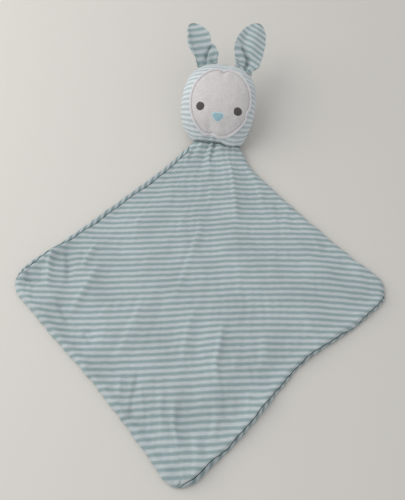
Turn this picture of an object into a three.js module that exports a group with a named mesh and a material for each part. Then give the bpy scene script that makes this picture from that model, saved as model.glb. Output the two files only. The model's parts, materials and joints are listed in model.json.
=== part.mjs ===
// A comfort blanket with a stuffed bunny head, lying face up as a diamond.
// The blanket is a square of two jersey panels, sewn together along their edges.
// One corner is gathered and sewn into the neck of the head, and two ears are
// sewn into the seam over its crown. Millimetres, +Z up, +Y from blanket to ears.

import * as THREE from 'three';
import { mergeVertices } from 'three/addons/utils/BufferGeometryUtils.js';

// Sizes shared by all pieces
const CLEARANCE = 0.3; // gap between two pieces that touch
const THREAD_RADIUS = 0.6; // half the thickness of a sewn-through seam

// Blanket
const BLANKET_SIDE = 280; // finished edge of the square
const CORNER_RADIUS = 18;
const PANEL_THICKNESS = 1.2;
const ROLL_WIDTH = 4.5; // how far an edge seam rolls away from the outline
const EDGE_ROUND = 2; // half the width of the rounded edge
const EDGE_ZONE = 9; // margin that the rolled edge shapes
const EDGE_PUFF = 1; // lift of the top over the seam allowance
const EDGE_PUFF_WIDTH = 3.5;
const ROLL_FADE = 20; // length over which a roll changes sides at a corner
const FOLD_HEIGHT = 2.6; // tallest fold of the front panel
const FOLD_WIDTH = 15;

// Corners as the blanket lies, from the neck, in shares of its side
const cornerShares = { left: [-0.736, -0.562], near: [-0.134, -1.26], right: [0.607, -0.607] };
// Inward bow of each edge in shares of the side, and how far its peak is shifted
const edgeBowShares = {
  upperLeft: { depth: 0.004, shift: 1 },
  upperRight: { depth: 0.022, shift: 0.6 },
  lowerLeft: { depth: 0.032, shift: 1.3 },
  lowerRight: { depth: 0.028, shift: 1.9 },
};
const bowFadeShare = 3; // how fast a bow dies away from its edge
// Folds from one point to another, in shares of the side, and a share of the height
const foldShares = [
  { from: [0.045, -0.06], to: [0.06, -0.42], height: 0.8 },
  { from: [-0.1, -0.09], to: [-0.27, -0.36], height: 0.55 },
  { from: [-0.44, -0.42], to: [-0.44, -0.56], height: 0.75 },
  { from: [-0.6, -0.44], to: [-0.575, -0.64], height: 1 },
  { from: [0.01, -0.76], to: [-0.02, -0.94], height: 0.7 },
  { from: [-0.145, -0.97], to: [-0.145, -1.14], height: 0.9 },
  { from: [0.28, -0.36], to: [0.36, -0.52], height: 0.6 },
];

// Neck, where the gathered corner meets the head
const NECK_WIDTH = 51;
const NECK_THICKNESS = 8;
const NECK_HEIGHT = 12; // crease above the surface that the toy lies on
const NECK_SLOPE = 28; // distance in which the blanket comes down from the neck
const GATHER_REACH = 12; // distance in which the gathered cloth thins out
const NECK_LEAN_REACH = 8; // distance in which its end leans with the head
const NECK_SQUARE_REACH = 16; // distance in which the corner is drawn square to the head
const NECK_GROOVE = 0.6; // depth of the stitched crease under the cloth beside it

// Head, measured from the neck crease to the crown
const HEAD_LENGTH = 87;
const HEAD_WIDTH = 81;
const HEAD_DEPTH = 54;
const HEAD_OFFSET = 4; // the head's middle, to the left of the neck's
const HEAD_TILT = THREE.MathUtils.degToRad(25); // crown higher than the neck
const HEAD_TURN = THREE.MathUtils.degToRad(-9);
const COVER_THICKNESS = 1.6;
const headShares = {
  middle: 0.47,
  crownRound: 2.6,
  neckRound: 2.1,
  section: 2.1,
  taper: 0.62,
  offsetEnds: 0.2,
};

// Face
const PATCH_FROM_SIDES = 8.5; // striped cover left beside the patch
const PATCH_FROM_NECK = 4.8; // and between it and the neck
const PATCH_FROM_CROWN = 9.2;
const PATCH_THICKNESS = 1;
const PATCH_GAP = 0.5;
const FACE_MIDDLE = -1; // middle of the face across the head
const PATCH_STITCH_MARGIN = 2.6;
const PATCH_STITCH_RADIUS = 0.4;
const PATCH_PUCKER = 1.6; // depth of the pucker at its top and bottom
const PUCKER_WIDTH = 5;
const EYE_DIAMETER = 8.4;
const EYE_SPACING = 38.4;
const EYES_FROM_NECK = 33;
const NOSE_WIDTH = 12;
const NOSE_LENGTH = 9.5;
const NOSE_FROM_NECK = 24.3;
const EMBROIDERY_HEIGHT = 0.9;
const noseShares = { narrowing: 0.33, dip: 0.5 };

// Ears
const EAR_LENGTH = 52;
const EAR_WIDTH = 33;
const EAR_BASE = 20;
const EARS_MIDDLE = -2.5; // middle between the ears, across the head
const EAR_FROM_SIDE = 21; // base's middle, in from the side of the head
const EAR_STANDOFF = 2.6; // hinge line of the base above the crown
const EAR_DROOP = 5; // fall of the tip below a straight ear
const EAR_CURVE = 7; // outward curve of the tip
const EAR_PUFF = 1.3; // half the rise of a layer between its seams
const EAR_TUCK = 1.8; // rise of the pleat over the ear
const EAR_ROOT_THICKNESS = 0.9; // one layer at the sewn base
const EAR_BACK_TILT = THREE.MathUtils.degToRad(6);
const earLean = {
  left: THREE.MathUtils.degToRad(-3),
  right: THREE.MathUtils.degToRad(-20),
};
const earShares = {
  widest: 0.37,
  tipBend: 1.9,
  tipRound: 0.6,
  leftPleated: 0.83,
  rootEnd: 0.16,
  tuckStart: 0.12,
  tuckEnd: 0.36,
  tuckEdge: 0.25,
  tuckDent: 0.5,
};

// How finely the forms are cut
const EDGE_CELL_COUNT = 3; // across the blanket's edge zone
const NECK_CELL_COUNT = 3; // from the edge zone to where the neck's cut ends
const BLANKET_CELL_COUNT = 10; // between the two places where such a cut would end
const HEAD_ROW_COUNT = 16;
const HEAD_COLUMN_COUNT = 16;
const PATCH_ROW_COUNT = 6;
const PATCH_COLUMN_COUNT = 32;
const SMALL_ROW_COUNT = 3;
const SMALL_COLUMN_COUNT = 16;
const EAR_ROW_COUNT = 11;
const EAR_COLUMN_COUNT = 10;
const STITCH_STEP_COUNT = 48;
const STITCH_SIDE_COUNT = 6;
const NECK_STEP_COUNT = 16;

const material = (color, roughness) => (
  new THREE.MeshStandardMaterial({ color, roughness, metalness: 0 })
);
const stripedJersey = material(0xa9bec2, 0.95);
const paleJersey = material(0xc6d4d7, 0.95);
const whiteVelour = material(0xd9d5d4, 1);
const whiteThread = material(0xd0d2d6, 0.7);
const darkThread = material(0x46403f, 0.7);
const blueThread = material(0x8fc3d2, 0.6);
const stuffing = material(0xf1f0ea, 1);

const range = (count) => [...Array(count).keys()];
const mix = (a, b, share) => a + (b - a) * share;
const clamp = THREE.MathUtils.clamp;
const halfTurn = Math.PI;
const quarterTurn = Math.PI / 2;
const roundPower = (value, power) => Math.sign(value) * Math.abs(value) ** (2 / power);

// Closes the space between two grids of points into one solid. A grid's rows may
// shrink to a point, and its columns may run round and meet.
function solidBetween(outer, inner, runsRound = false) {
  const triangles = [];
  const triangle = (a, b, c) => {
    const flat = a.equals(b) || b.equals(c) || c.equals(a);
    if (!flat) triangles.push([a, b, c]);
  };
  const quad = (a, b, c, d) => {
    triangle(a, b, c);
    triangle(a, c, d);
  };
  const rows = outer.length;
  const columns = outer[0].length;
  const spans = runsRound ? columns : columns - 1;
  range(rows - 1).forEach((i) => range(spans).forEach((j) => {
    const k = (j + 1) % columns;
    quad(outer[i][j], outer[i][k], outer[i + 1][k], outer[i + 1][j]);
    quad(inner[i][j], inner[i + 1][j], inner[i + 1][k], inner[i][k]);
  }));
  range(spans).forEach((j) => {
    const k = (j + 1) % columns;
    const end = rows - 1;
    quad(outer[0][k], outer[0][j], inner[0][j], inner[0][k]);
    quad(outer[end][j], outer[end][k], inner[end][k], inner[end][j]);
  });
  if (!runsRound) {
    range(rows - 1).forEach((i) => {
      const end = columns - 1;
      quad(outer[i][0], outer[i + 1][0], inner[i + 1][0], inner[i][0]);
      quad(outer[i + 1][end], outer[i][end], inner[i][end], inner[i + 1][end]);
    });
  }
  return faceOutward(triangles);
}

// Turns a list of triangles into a geometry whose faces point out
function faceOutward(triangles) {
  const across = new THREE.Vector3();
  const volume = triangles.reduce((sum, [a, b, c]) => sum + a.dot(across.crossVectors(b, c)), 0);
  const points = triangles.flatMap(([a, b, c]) => (volume < 0 ? [a, c, b] : [a, b, c]));
  const geometry = mergeVertices(new THREE.BufferGeometry().setFromPoints(points));
  geometry.computeVertexNormals();
  return geometry;
}

function mesh(name, geometry, finish) {
  const piece = new THREE.Mesh(geometry, finish);
  piece.name = name;
  return piece;
}

// Blanket: its flat square. Across runs from the upper left edge to the lower
// right one, and along runs from the lower left edge to the upper right one.
const corners = {
  left: new THREE.Vector2(...cornerShares.left).multiplyScalar(BLANKET_SIDE),
  near: new THREE.Vector2(...cornerShares.near).multiplyScalar(BLANKET_SIDE),
  right: new THREE.Vector2(...cornerShares.right).multiplyScalar(BLANKET_SIDE),
  neck: new THREE.Vector2(0, NECK_WIDTH / 2),
};
const neckCut = NECK_WIDTH / Math.SQRT2; // edge length that the neck takes off
const neckLine = new THREE.Vector2(Math.cos(HEAD_TURN), Math.sin(HEAD_TURN));
const neckUp = new THREE.Vector2(-neckLine.y, neckLine.x);
const neckGap = THREAD_RADIUS + CLEARANCE;
const edgePlaces = [
  ...range(EDGE_CELL_COUNT).map((k) => (EDGE_ZONE * k) / EDGE_CELL_COUNT),
  ...range(NECK_CELL_COUNT).map((k) => mix(EDGE_ZONE, neckCut, k / NECK_CELL_COUNT)),
];
const gridPlaces = [
  ...edgePlaces,
  ...range(BLANKET_CELL_COUNT + 1).map((k) => mix(neckCut, BLANKET_SIDE - neckCut, k / BLANKET_CELL_COUNT)),
  ...edgePlaces.map((place) => BLANKET_SIDE - place).reverse(),
];
const neckCells = EDGE_CELL_COUNT + NECK_CELL_COUNT;
const lastLine = gridPlaces.length - 1;

// Moves a point of the square to its new distance from the edge, and takes it
// round a corner on an arc, or along the straight cut of the neck
function roundCorner(across, along, distance, moved) {
  const fromAcross = Math.min(across, BLANKET_SIDE - across);
  const fromAlong = Math.min(along, BLANKET_SIDE - along);
  const atNeck = across < BLANKET_SIDE / 2 && along > BLANKET_SIDE / 2;
  const zone = atNeck ? neckCut : CORNER_RADIUS;
  const intoAcross = Math.max(0, zone - fromAcross);
  const intoAlong = Math.max(0, zone - fromAlong);
  const depth = Math.max(intoAcross, intoAlong);
  if (distance >= zone) return [across, along];
  const shift = (zone - moved) / (zone - distance);
  const inBoth = intoAcross > 0 && intoAlong > 0;
  const corner = atNeck ? intoAcross + intoAlong : Math.hypot(intoAcross, intoAlong);
  const scale = inBoth ? (shift * depth) / corner : shift;
  const newAcross = intoAcross > 0 ? zone - intoAcross * scale : fromAcross;
  const newAlong = intoAlong > 0 ? zone - intoAlong * scale : fromAlong;
  return [
    across * 2 > BLANKET_SIDE ? BLANKET_SIDE - newAcross : newAcross,
    along * 2 > BLANKET_SIDE ? BLANKET_SIDE - newAlong : newAlong,
  ];
}

// Lays the square down: each corner to its place, each edge with its bow
const toRight = corners.right.clone().add(corners.near).sub(corners.left).sub(corners.neck).normalize();
const toNeck = corners.right.clone().add(corners.neck).sub(corners.left).sub(corners.near).normalize();
function layDown(across, along) {
  const u = across / BLANKET_SIDE;
  const v = along / BLANKET_SIDE;
  const bow = (edge, run, away) => {
    const { depth, shift } = edgeBowShares[edge];
    return depth * BLANKET_SIDE * Math.sin(halfTurn * clamp(run, 0, 1) ** shift) * away ** bowFadeShare;
  };
  const laid = new THREE.Vector2()
    .addScaledVector(corners.left, (1 - u) * (1 - v))
    .addScaledVector(corners.neck, (1 - u) * v)
    .addScaledVector(corners.near, u * (1 - v))
    .addScaledVector(corners.right, u * v)
    .addScaledVector(toRight, bow('upperLeft', 1 - v, 1 - u) - bow('lowerRight', v, u))
    .addScaledVector(toNeck, bow('lowerLeft', u, 1 - v) - bow('upperRight', u, v));
  return drawToNeck(laid, across, BLANKET_SIDE - along);
}

// Draws the neck's corner square to the head. Its cut lies along the neck line.
function drawToNeck(laid, fromUpperLeft, fromUpperRight) {
  const below = (fromUpperLeft + fromUpperRight - neckCut) / Math.SQRT2;
  const beside = (fromUpperLeft - fromUpperRight) / Math.SQRT2;
  const sewn = neckLine.clone().multiplyScalar(beside).addScaledVector(neckUp, -below - neckGap);
  return laid.lerp(sewn, Math.exp(-((below / NECK_SQUARE_REACH) ** 2)));
}

// Distance of a laid point from the line of the neck
function distanceFromNeck(place) {
  const beside = Math.max(0, Math.abs(place.dot(neckLine)) - NECK_WIDTH / 2);
  const below = Math.max(0, -place.dot(neckUp) - neckGap);
  return Math.hypot(beside, below);
}

// Height of the front panel's folds over a laid point
function foldHeight(place) {
  const heights = foldShares.map((fold) => {
    const from = new THREE.Vector2(...fold.from).multiplyScalar(BLANKET_SIDE);
    const run = new THREE.Vector2(...fold.to).multiplyScalar(BLANKET_SIDE).sub(from);
    const away = place.clone().sub(from);
    const share = clamp(away.dot(run) / run.lengthSq(), 0, 1);
    const distance = away.addScaledVector(run, -share).length();
    return fold.height * FOLD_HEIGHT * Math.exp(-((distance / FOLD_WIDTH) ** 2));
  });
  return Math.max(...heights);
}

// How far an edge seam is rolled in from the outline. It is positive on the two
// edges where the back comes over the front, and negative on the other two.
function rollAt(i, j) {
  const fromAcross = Math.min(i, lastLine - i);
  const fromAlong = Math.min(j, lastLine - j);
  if (fromAcross === fromAlong) return 0;
  const runsAlong = fromAcross < fromAlong;
  const run = gridPlaces[runsAlong ? j : i];
  const start = !runsAlong && j > lastLine / 2 ? neckCut : 0;
  const end = runsAlong && i < lastLine / 2 ? BLANKET_SIDE - neckCut : BLANKET_SIDE;
  const room = clamp(Math.min(run - start, end - run) / ROLL_FADE, 0, 1);
  return (runsAlong ? 1 : -1) * ROLL_WIDTH * Math.sin(quarterTurn * room);
}

// A panel's edge at one grid point: its distance in from the outline, and how far
// the cloth is turned there, from on edge at the seam to flat
function edgeSection(i, j, layer, face) {
  const ring = Math.min(i, lastLine - i, j, lastLine - j);
  const squareEnd = i < neckCells && lastLine - j < neckCells;
  if (ring >= EDGE_CELL_COUNT || squareEnd) return { inset: gridPlaces[ring], turn: quarterTurn };
  const run = mix(layer * rollAt(i, j) + CLEARANCE, EDGE_ZONE, ring / EDGE_CELL_COUNT);
  const turn = clamp(run / EDGE_ROUND, -1, 1) * quarterTurn;
  const rounding = Math.abs(run) > EDGE_ROUND ? Math.abs(run) : EDGE_ROUND * (1 - Math.cos(turn));
  return { inset: rounding + ((1 - face) / 2) * PANEL_THICKNESS * Math.cos(turn), turn };
}

// Thickness of one panel where it is gathered, beside the middle of the neck
function gatheredThickness(beside) {
  const share = clamp(Math.abs(beside) / (NECK_WIDTH / 2), 0, 1);
  const round = (1 - share ** headShares.section) ** (1 / headShares.section);
  return Math.max(PANEL_THICKNESS, (NECK_THICKNESS * round - CLEARANCE) / 2);
}

// One point of a panel. Layer is 1 for the front panel and -1 for the back one,
// and face is 1 for the panel's outside and -1 for its inside.
function panelPoint(i, j, layer, face) {
  const { inset, turn } = edgeSection(i, j, layer, face);
  const distance = gridPlaces[Math.min(i, lastLine - i, j, lastLine - j)];
  const place = layDown(...roundCorner(gridPlaces[i], gridPlaces[j], distance, inset));
  const nearness = distanceFromNeck(place);
  const gather = Math.exp(-nearness / GATHER_REACH);
  const thickness = mix(PANEL_THICKNESS, gatheredThickness(place.dot(neckLine)), gather);
  const middle = mix(PANEL_THICKNESS + CLEARANCE / 2, NECK_THICKNESS / 2, gather);
  const offset = (CLEARANCE + (1 + face) * thickness) / 2;
  const facesUp = layer * Math.sin(turn);
  const puff = EDGE_PUFF * Math.exp(-(((inset - ROLL_WIDTH) / EDGE_PUFF_WIDTH) ** 2));
  const lift = ((1 + facesUp) / 2) * (1 - gather) * (puff + foldHeight(place));
  return leanToHead(place, middle + facesUp * offset + lift + neckLift(nearness), nearness);
}

// Rise of the blanket towards the neck, flat beyond its reach
function neckLift(nearness) {
  const atNeck = NECK_HEIGHT - NECK_THICKNESS * Math.cos(HEAD_TILT);
  return Math.max(0, atNeck * Math.exp(-nearness / NECK_SLOPE) - CLEARANCE);
}

// Leans the gathered end back so that it lies square to the tilted head
function leanToHead(place, height, nearness) {
  const beside = place.dot(neckLine);
  const below = place.dot(neckUp);
  const depth = NECK_THICKNESS + neckLift(0) - height;
  const weight = Math.exp(-nearness / NECK_LEAN_REACH);
  const leanedBelow = below + neckGap * (1 - Math.cos(HEAD_TILT)) + depth * Math.sin(HEAD_TILT);
  const leanedHeight = NECK_HEIGHT - neckGap * Math.sin(HEAD_TILT) - depth * Math.cos(HEAD_TILT);
  const finalBelow = mix(below, leanedBelow, weight);
  const ground = neckLine.clone().multiplyScalar(beside).addScaledVector(neckUp, finalBelow);
  return new THREE.Vector3(ground.x, ground.y, mix(height, leanedHeight, weight));
}

function blanketPanel(name, layer) {
  const lines = range(lastLine + 1);
  const face = (side) => lines.map((i) => lines.map((j) => panelPoint(i, j, layer, side)));
  return mesh(name, solidBetween(face(1), face(-1)), stripedJersey);
}

// Head: half its width and depth at a distance from the neck
const headMiddle = HEAD_LENGTH * headShares.middle;
const neckShare = (1 - (NECK_WIDTH / HEAD_WIDTH) ** headShares.neckRound) ** (1 / headShares.neckRound);
function headHalfWidth(fromNeck) {
  const overCrown = fromNeck > headMiddle;
  const reach = overCrown ? HEAD_LENGTH - headMiddle : headMiddle / neckShare;
  const round = overCrown ? headShares.crownRound : headShares.neckRound;
  const share = Math.min(1, Math.abs(fromNeck - headMiddle) / reach);
  return (HEAD_WIDTH / 2) * (1 - share ** round) ** (1 / round);
}
function headHalfDepth(fromNeck) {
  const share = clamp(fromNeck / HEAD_LENGTH, 0, 1);
  const swell = (HEAD_DEPTH / 2) * Math.sin(halfTurn * share) ** headShares.taper;
  return Math.max(swell, (NECK_THICKNESS / 2) * (1 - share));
}
function headMiddleAt(fromNeck) {
  return -HEAD_OFFSET * clamp(fromNeck / (HEAD_LENGTH * headShares.offsetEnds), 0, 1);
}
const headRows = range(HEAD_ROW_COUNT + 1).map((i) => {
  const share = (1 - Math.cos((halfTurn * i) / HEAD_ROW_COUNT)) / 2;
  return mix(neckGap, HEAD_LENGTH, share);
});

// A point round the head at an angle from its right seam, a depth under its skin
function headPoint(fromNeck, angle, under, split) {
  const beyond = fromNeck > headMiddle;
  const halfWidth = headHalfWidth(fromNeck);
  const halfDepth = headHalfDepth(fromNeck);
  const width = beyond ? halfWidth * (1 - (2 * under) / HEAD_WIDTH) : halfWidth - under;
  const depth = beyond ? halfDepth * (1 - (2 * under) / HEAD_DEPTH) : halfDepth - under;
  const place = beyond
    ? headMiddle + (fromNeck - headMiddle) * (1 - under / (HEAD_LENGTH - headMiddle))
    : fromNeck;
  const x = headMiddleAt(fromNeck) + width * roundPower(Math.cos(angle), headShares.section);
  const z = -NECK_THICKNESS / 2 + split + depth * roundPower(Math.sin(angle), headShares.section);
  return new THREE.Vector3(x, place, Math.max(z, restDepth(place, under)));
}

// Depth at which the tilted head meets the surface that it lies on
function restDepth(fromNeck, above) {
  return (above - NECK_HEIGHT - fromNeck * Math.sin(HEAD_TILT)) / Math.cos(HEAD_TILT);
}

// One half of the head's cover, from its right seam to its left one
function headCover(name, side) {
  const skin = (under) => headRows.map((fromNeck) => range(HEAD_COLUMN_COUNT + 1).map((j) => {
    const angle = (side * halfTurn * j) / HEAD_COLUMN_COUNT;
    return headPoint(fromNeck, angle, under, (side * CLEARANCE) / 2);
  }));
  return mesh(name, solidBetween(skin(0), skin(COVER_THICKNESS)), stripedJersey);
}

// The stuffing fills both covers
function headFilling() {
  const under = COVER_THICKNESS + CLEARANCE;
  const skin = headRows.map((fromNeck) => range(HEAD_COLUMN_COUNT).map((j) => {
    return headPoint(fromNeck, (2 * halfTurn * j) / HEAD_COLUMN_COUNT, under, 0);
  }));
  const core = skin.map((row) => {
    const middle = row[0].clone().add(row[HEAD_COLUMN_COUNT / 2]).multiplyScalar(1 / 2);
    return row.map(() => middle);
  });
  return mesh('head_filling', solidBetween(skin, core, true), stuffing);
}

// The front of the head under a place of the face, raised along its slope
function onFace(x, fromNeck, raised) {
  const heightAt = (across, along) => {
    const share = clamp(Math.abs(across - headMiddleAt(along)) / headHalfWidth(along), 0, 1);
    const round = (1 - share ** headShares.section) ** (1 / headShares.section);
    return (CLEARANCE - NECK_THICKNESS) / 2 + headHalfDepth(along) * round;
  };
  const riseX = heightAt(x + CLEARANCE, fromNeck) - heightAt(x - CLEARANCE, fromNeck);
  const riseY = heightAt(x, fromNeck + CLEARANCE) - heightAt(x, fromNeck - CLEARANCE);
  const out = new THREE.Vector3(-riseX, -riseY, 2 * CLEARANCE).normalize();
  return new THREE.Vector3(x, fromNeck, heightAt(x, fromNeck)).addScaledVector(out, raised);
}

// A flat shape laid on the face, as rings that shrink to its middle. The shape
// has an outline, its middle's place, its underside's height and its own height
// over each ring.
function faceShape(name, finish, { outline, columns, rows, middle, bottom, heightOf }) {
  const ring = (share, raised) => range(columns).map((j) => {
    const [x, y] = outline((2 * halfTurn * j) / columns);
    return onFace(middle[0] + x * share, middle[1] + y * share, raised);
  });
  const shares = range(rows + 1).map((i) => Math.sin((quarterTurn * i) / rows));
  const top = shares.map((share) => ring(share, bottom + heightOf(share)));
  const under = shares.map((share) => ring(share, bottom));
  return mesh(name, solidBetween(top, under, true), finish);
}

const patchWidth = HEAD_WIDTH - 2 * PATCH_FROM_SIDES;
const patchLength = HEAD_LENGTH - PATCH_FROM_NECK - PATCH_FROM_CROWN;

// Outline of the face patch: egg-round, puckered where the head is gathered
function patchOutline(angle, margin = 0) {
  const fromMiddle = (Math.cos(angle) * patchWidth) / 2;
  const pucker = PATCH_PUCKER * Math.exp(-((fromMiddle / PUCKER_WIDTH) ** 2));
  const x = (patchWidth / 2 - margin) * roundPower(Math.cos(angle), headShares.section);
  const y = (patchLength / 2 - margin - pucker) * roundPower(Math.sin(angle), headShares.section);
  return [x, y];
}

// Outline of the nose: a soft triangle with a shallow dip in its top edge
function noseOutline(angle) {
  const dip = noseShares.dip * (Math.sin(angle) * Math.cos(angle)) ** 2;
  const x = (NOSE_WIDTH / 2) * Math.cos(angle) * (1 + noseShares.narrowing * Math.sin(angle));
  const y = (NOSE_LENGTH / 2) * (Math.sin(angle) - dip);
  return [x, y];
}
const eyeOutline = (angle) => (
  [(EYE_DIAMETER / 2) * Math.cos(angle), (EYE_DIAMETER / 2) * Math.sin(angle)]
);

const patchMiddle = [FACE_MIDDLE, PATCH_FROM_NECK + patchLength / 2];
const patchTop = PATCH_GAP + PATCH_THICKNESS;
const embroideryHeight = (share) => mix(EMBROIDERY_HEIGHT, THREAD_RADIUS / 2, share ** 2);

function facePatch() {
  return faceShape('face_patch', whiteVelour, {
    outline: patchOutline,
    columns: PATCH_COLUMN_COUNT,
    rows: PATCH_ROW_COUNT,
    middle: patchMiddle,
    bottom: PATCH_GAP,
    heightOf: () => PATCH_THICKNESS,
  });
}

// An embroidered eye or nose: a low mound of stitches on the patch
function embroidery(name, finish, outline, beside, fromNeck) {
  return faceShape(name, finish, {
    outline,
    columns: SMALL_COLUMN_COUNT,
    rows: SMALL_ROW_COUNT,
    middle: [FACE_MIDDLE + beside, fromNeck],
    bottom: patchTop + CLEARANCE,
    heightOf: embroideryHeight,
  });
}

// The line of stitches inside the patch's rim: a ring that follows the face
function patchStitching() {
  const ring = new THREE.TorusGeometry(
    patchWidth,
    PATCH_STITCH_RADIUS,
    STITCH_SIDE_COUNT,
    STITCH_STEP_COUNT,
  );
  const places = ring.getAttribute('position');
  const point = new THREE.Vector3();
  range(places.count).forEach((k) => {
    point.fromBufferAttribute(places, k);
    const side = Math.hypot(point.x, point.y) - patchWidth;
    const [x, y] = patchOutline(Math.atan2(point.y, point.x), PATCH_STITCH_MARGIN - side);
    const raised = patchTop + CLEARANCE + PATCH_STITCH_RADIUS + point.z;
    places.setXYZ(k, ...onFace(patchMiddle[0] + x, patchMiddle[1] + y, raised).toArray());
  });
  ring.deleteAttribute('normal');
  ring.deleteAttribute('uv');
  const closed = mergeVertices(ring);
  closed.computeVertexNormals();
  return mesh('face_patch_stitching', closed, whiteThread);
}

// The gathering stitches between the blanket's corner and the head: a flat round
// band, sunk under the cloth on both sides
function neckStitching() {
  const width = NECK_WIDTH / 2 - NECK_GROOVE;
  const height = NECK_THICKNESS / 2 - NECK_GROOVE;
  const section = new THREE.Shape();
  section.absellipse(0, -NECK_THICKNESS / 2, width, height, 0, 2 * halfTurn, false);
  const band = new THREE.ExtrudeGeometry(section, {
    depth: 2 * THREAD_RADIUS,
    bevelEnabled: false,
    curveSegments: NECK_STEP_COUNT,
  });
  band.translate(0, 0, -THREAD_RADIUS);
  band.rotateX(quarterTurn);
  return mesh('neck_stitching', band, paleJersey);
}

// A sewn-through seam at the root of an ear, rounded over its hinge line
function earStitching(name) {
  const section = new THREE.Shape();
  section.moveTo(-THREAD_RADIUS, CLEARANCE - EAR_STANDOFF);
  section.lineTo(THREAD_RADIUS, CLEARANCE - EAR_STANDOFF);
  section.lineTo(THREAD_RADIUS, 0);
  section.absarc(0, 0, THREAD_RADIUS, 0, halfTurn, false);
  section.closePath();
  const ridge = new THREE.ExtrudeGeometry(section, {
    depth: EAR_BASE,
    bevelEnabled: false,
    curveSegments: STITCH_SIDE_COUNT,
  });
  ridge.translate(0, 0, -EAR_BASE / 2);
  ridge.rotateY(quarterTurn);
  return mesh(name, ridge, paleJersey);
}

// Ears: a leaf of two layers, pleated at its inner side near the base
function earHalfWidth(share, pleated) {
  const rising = Math.sin(quarterTurn * Math.min(1, share / earShares.widest));
  const beyond = clamp((share - earShares.widest) / (1 - earShares.widest), 0, 1);
  const tip = (1 - beyond ** earShares.tipBend) ** earShares.tipRound;
  return (mix(EAR_BASE, EAR_WIDTH * pleated, rising) / 2) * tip;
}

// Rise of the pleat, whose crease runs from the base to the inner edge
function earTuck(across, share) {
  const crease = clamp(share / earShares.tuckEnd, 0, 1);
  const fade = clamp(share / earShares.tuckStart, 0, 1) * (1 - crease);
  const beyond = clamp((across - crease) / earShares.tuckEdge, -1, 1);
  const flap = Math.sin(quarterTurn * beyond);
  const dent = earShares.tuckDent * Math.sin(halfTurn * beyond);
  return EAR_TUCK * fade * (beyond > 0 ? flap : dent);
}

// One layer of an ear. Side is 1 for the front layer and -1 for the back one,
// and inner is the side of the ear that faces the other ear.
function earLayer(name, side, inner, lean) {
  const start = neckGap / EAR_LENGTH;
  const pleated = inner > 0 ? earShares.leftPleated : 1;
  const point = (i, j, skin) => {
    const share = mix(start, 1, Math.sin((quarterTurn * i) / EAR_ROW_COUNT));
    const across = (2 * j) / EAR_COLUMN_COUNT - 1;
    const rooted = clamp((share - start) / (earShares.rootEnd - start), 0, 1);
    const seam = mix(EAR_ROOT_THICKNESS, PANEL_THICKNESS, rooted);
    const swell = Math.sqrt(Math.sin(halfTurn * Math.min(1, share + start)));
    const puff = EAR_PUFF * rooted * swell * (1 - across ** 2);
    const middle = earTuck(across * inner, share) - EAR_DROOP * share ** 2;
    const along = share * EAR_LENGTH;
    const halfWidth = earHalfWidth(share, pleated);
    const curve = -inner * EAR_CURVE * share ** 2;
    const beside = halfWidth * across + (along - neckGap) * Math.tan(lean) + curve;
    return new THREE.Vector3(beside, along, middle + side * (CLEARANCE / 2 + skin * (seam + puff)));
  };
  const columns = range(EAR_COLUMN_COUNT + 1);
  const grid = (skin) => range(EAR_ROW_COUNT + 1).map((i) => columns.map((j) => point(i, j, skin)));
  return mesh(name, solidBetween(grid(1), grid(0)), stripedJersey);
}

// Height of the crown seam over the neck, beside the middle between the ears
function crownSeam(beside) {
  const share = (2 * Math.abs(beside + EARS_MIDDLE + HEAD_OFFSET)) / HEAD_WIDTH;
  const round = (1 - share ** headShares.crownRound) ** (1 / headShares.crownRound);
  return headMiddle + (HEAD_LENGTH - headMiddle) * round;
}

// An ear's place on the crown seam. Its own X runs along the hinge line.
function earSeat(side) {
  const beside = side * (HEAD_WIDTH / 2 - EAR_FROM_SIDE);
  const slope = (crownSeam(beside + CLEARANCE) - crownSeam(beside - CLEARANCE)) / (2 * CLEARANCE);
  const angle = Math.atan(slope);
  const seat = new THREE.Group();
  seat.rotation.set(-EAR_BACK_TILT, 0, angle, 'ZYX');
  seat.position.set(EARS_MIDDLE + beside, crownSeam(beside), -NECK_THICKNESS / 2);
  seat.position.x -= Math.sin(angle) * EAR_STANDOFF;
  seat.position.y += Math.cos(angle) * EAR_STANDOFF;
  return seat;
}

function ear(word, side) {
  const seat = earSeat(side);
  seat.add(
    earStitching(`${word}_ear_stitching`),
    earLayer(`${word}_ear_front`, 1, -side, earLean[word]),
    earLayer(`${word}_ear_back`, -1, -side, earLean[word]),
  );
  return seat;
}

// The toy, put together at the middle of the neck crease
const head = new THREE.Group();
head.position.set(0, 0, NECK_HEIGHT);
head.rotation.set(HEAD_TILT, 0, HEAD_TURN, 'ZYX');
head.add(
  neckStitching(),
  headCover('head_front_cover', 1),
  headCover('head_back_cover', -1),
  headFilling(),
  facePatch(),
  patchStitching(),
  embroidery('left_eye', darkThread, eyeOutline, -EYE_SPACING / 2, EYES_FROM_NECK),
  embroidery('right_eye', darkThread, eyeOutline, EYE_SPACING / 2, EYES_FROM_NECK),
  embroidery('nose', blueThread, noseOutline, 0, NOSE_FROM_NECK),
  ear('left', -1),
  ear('right', 1),
);

const toy = new THREE.Group();
toy.add(blanketPanel('blanket_front_panel', 1), blanketPanel('blanket_back_panel', -1), head);

// The whole toy stands over the origin, at the middle of its box
const part = new THREE.Group();
part.add(toy);
part.updateMatrixWorld(true);
const box = new THREE.Box3().setFromObject(toy, true);
toy.position.set(-(box.min.x + box.max.x) / 2, -(box.min.y + box.max.y) / 2, -box.min.z);

export default part;
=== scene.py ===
import functools
import json
import math
import bmesh
import bpy
from mathutils import Matrix, Vector, noise


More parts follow.
